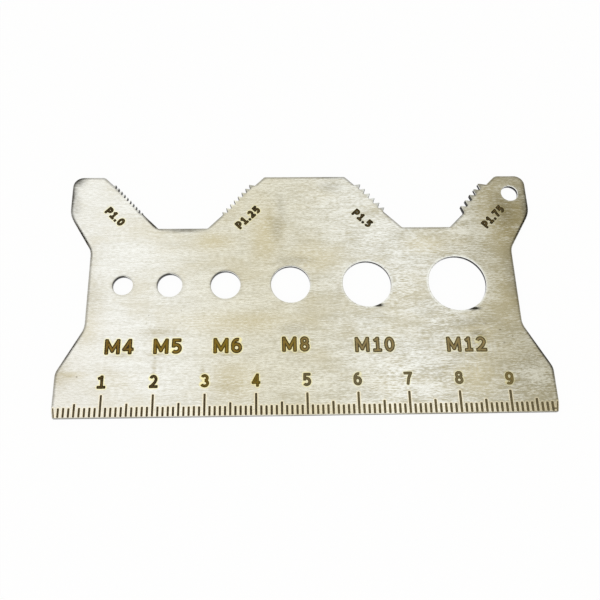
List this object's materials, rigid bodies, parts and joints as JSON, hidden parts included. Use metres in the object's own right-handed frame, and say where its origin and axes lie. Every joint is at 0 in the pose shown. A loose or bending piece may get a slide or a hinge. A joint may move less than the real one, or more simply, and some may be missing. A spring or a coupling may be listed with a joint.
{
  "type": "thread checker plate",
  "caption": "Flat steel gauge plate with round bolt-size holes, toothed thread-pitch racks on sloped flanks, a hanging hole and a millimetre ruler along its straight edge.",
  "frame": {"origin": "middle of the plate's back, which is what it rests on: the bottom centre of its box", "axes": "+X along the ruler edge in reading order, +Y from the ruler edge to the toothed edge, +Z out of the marked face"},
  "size_m": [0.0988, 0.0524, 0.001],
  "materials": {
    "plate_steel": "brushed along the ruler edge, satin",
    "heat_marking": "matt dark marks burnt into the steel"
  },
  "bodies": {
    "root": {"gauge_plate": "plate_steel"}
  },
  "joints": []
}
